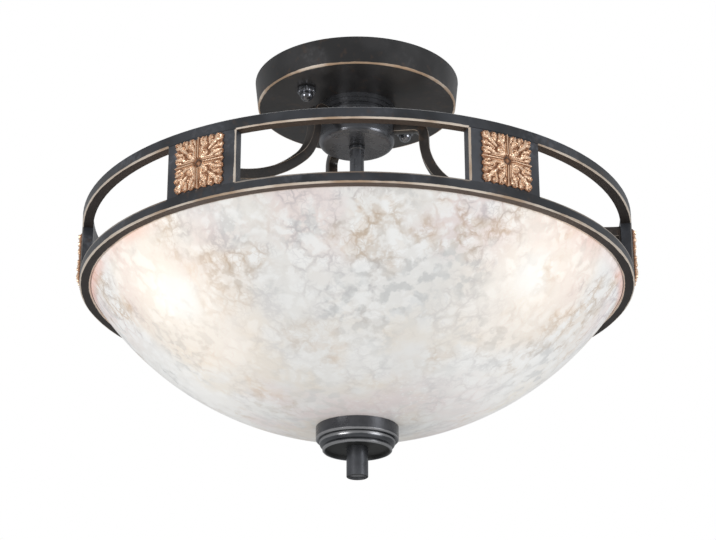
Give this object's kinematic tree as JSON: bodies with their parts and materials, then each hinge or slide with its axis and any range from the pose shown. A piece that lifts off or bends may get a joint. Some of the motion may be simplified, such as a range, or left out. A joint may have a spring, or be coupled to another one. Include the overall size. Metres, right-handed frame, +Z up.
{
  "type": "ceiling light",
  "caption": "Semi-flush ceiling light: a marbled glass bowl hangs under a windowed metal gallery with rosette plaques, on curved arms below a round canopy.",
  "frame": {"origin": "middle of the canopy's rim, in the plane of the ceiling", "axes": "+Z up through the ceiling, -Y towards the pictured front, +X to the picture's right"},
  "size_m": [0.4656, 0.458, 0.3526],
  "materials": {
    "dark_bronze": "satin, rubbed to gold on the edges",
    "gunmetal": "satin, dark grey",
    "rosette_copper": "antique copper relief over a dark ground",
    "marbled_glass": "milky, marbled",
    "frosted_glass": "frosted",
    "zinc_steel": "zinc plated",
    "dark_steel": "blackened screws",
    "brass": "plain",
    "copper": "bare copper",
    "lampholder": "white, hard",
    "bulb_base": "plain",
    "rubber": "matt",
    "black_insulation": "matt",
    "white_insulation": "matt",
    "orange_cap": "moulded",
    "clear_crimp": "moulded",
    "green_screw": "green plated"
  },
  "bodies": {
    "fixture": {"mounting_strap": "zinc_steel", "strap_studs": "zinc_steel", "stud_lock_nuts": "zinc_steel", "ground_screw": "green_screw", "ground_wire": "copper", "canopy": "dark_bronze", "neck_collar": "dark_bronze", "hub_cup": "dark_bronze", "hub_nut": "gunmetal", "threaded_pipe": "brass", "pipe_nuts": "zinc_steel", "stem_washer": "zinc_steel", "rod_cover": "dark_bronze", "arm_1": "dark_bronze", "arm_2": "dark_bronze", "arm_3": "dark_bronze", "arm_hub_screws": "dark_steel", "arm_foot_screws": "dark_steel", "gallery_top_band": "dark_bronze", "gallery_bottom_band": "dark_bronze", "gallery_panel_1": "dark_bronze", "gallery_panel_2": "dark_bronze", "gallery_panel_3": "dark_bronze", "gallery_panel_4": "dark_bronze", "gallery_panel_5": "dark_bronze", "gallery_panel_6": "dark_bronze", "medallion_1": "rosette_copper", "medallion_2": "rosette_copper", "medallion_3": "rosette_copper", "medallion_4": "rosette_copper", "medallion_5": "rosette_copper", "medallion_6": "rosette_copper", "medallion_screws": "dark_steel", "bowl_stop_plate": "zinc_steel", "bowl_washer": "rubber", "cluster_cup": "zinc_steel", "cluster_lid": "zinc_steel", "socket_nipples": "brass", "socket_nuts": "brass", "socket_1": "lampholder", "socket_2": "lampholder", "socket_3": "lampholder", "socket_shells": "brass", "socket_contacts": "brass", "lead_black": "black_insulation", "lead_white": "white_insulation", "crimp_caps": "clear_crimp", "wire_caps": "orange_cap"},
    "bowl": {"glass_bowl": "marbled_glass", "bowl_gasket": "rubber", "finial_cap": "gunmetal"},
    "finial": {"finial_knob": "gunmetal"},
    "knob_1": {"canopy_knob_1": "gunmetal"},
    "knob_2": {"canopy_knob_2": "gunmetal"},
    "bulb_1": {"bulb_base_1": "bulb_base", "bulb_glass_1": "frosted_glass"},
    "bulb_2": {"bulb_base_2": "bulb_base", "bulb_glass_2": "frosted_glass"},
    "bulb_3": {"bulb_base_3": "bulb_base", "bulb_glass_3": "frosted_glass"}
  },
  "joints": [
    {"name": "bowl_drop", "type": "slide", "parent": "fixture", "child": "bowl", "axis": [0, 0, -1], "range_m": [0, 0.012]},
    {"name": "finial_turn", "type": "hinge", "parent": "bowl", "child": "finial", "pos_m": [0, 0, -0.34], "axis": [0, 0, 1], "range_deg": [0, 4320]},
    {"name": "knob_1_turn", "type": "hinge", "parent": "fixture", "child": "knob_1", "pos_m": [-0.04242, -0.03956, -0.03], "axis": [0, 0, 1], "range_deg": [0, 3240]},
    {"name": "knob_2_turn", "type": "hinge", "parent": "fixture", "child": "knob_2", "pos_m": [0.04242, 0.03956, -0.03], "axis": [0, 0, 1], "range_deg": [0, 3240]},
    {"name": "bulb_1_turn", "type": "hinge", "parent": "fixture", "child": "bulb_1", "pos_m": [0.07548, -0.04902, -0.1833], "axis": [0.8387, -0.5446, 0], "range_deg": [0, 2520]},
    {"name": "bulb_2_turn", "type": "hinge", "parent": "fixture", "child": "bulb_2", "pos_m": [0.00471, 0.08988, -0.1833], "axis": [0.0523, 0.9986, 0], "range_deg": [0, 2520]},
    {"name": "bulb_3_turn", "type": "hinge", "parent": "fixture", "child": "bulb_3", "pos_m": [-0.08019, -0.04086, -0.1833], "axis": [-0.891, -0.454, 0], "range_deg": [0, 2520]}
  ],
  "couplings": [
    {"joint": "finial_turn", "follows": "bowl_drop", "rad_per_m": 6283.2}
  ]
}
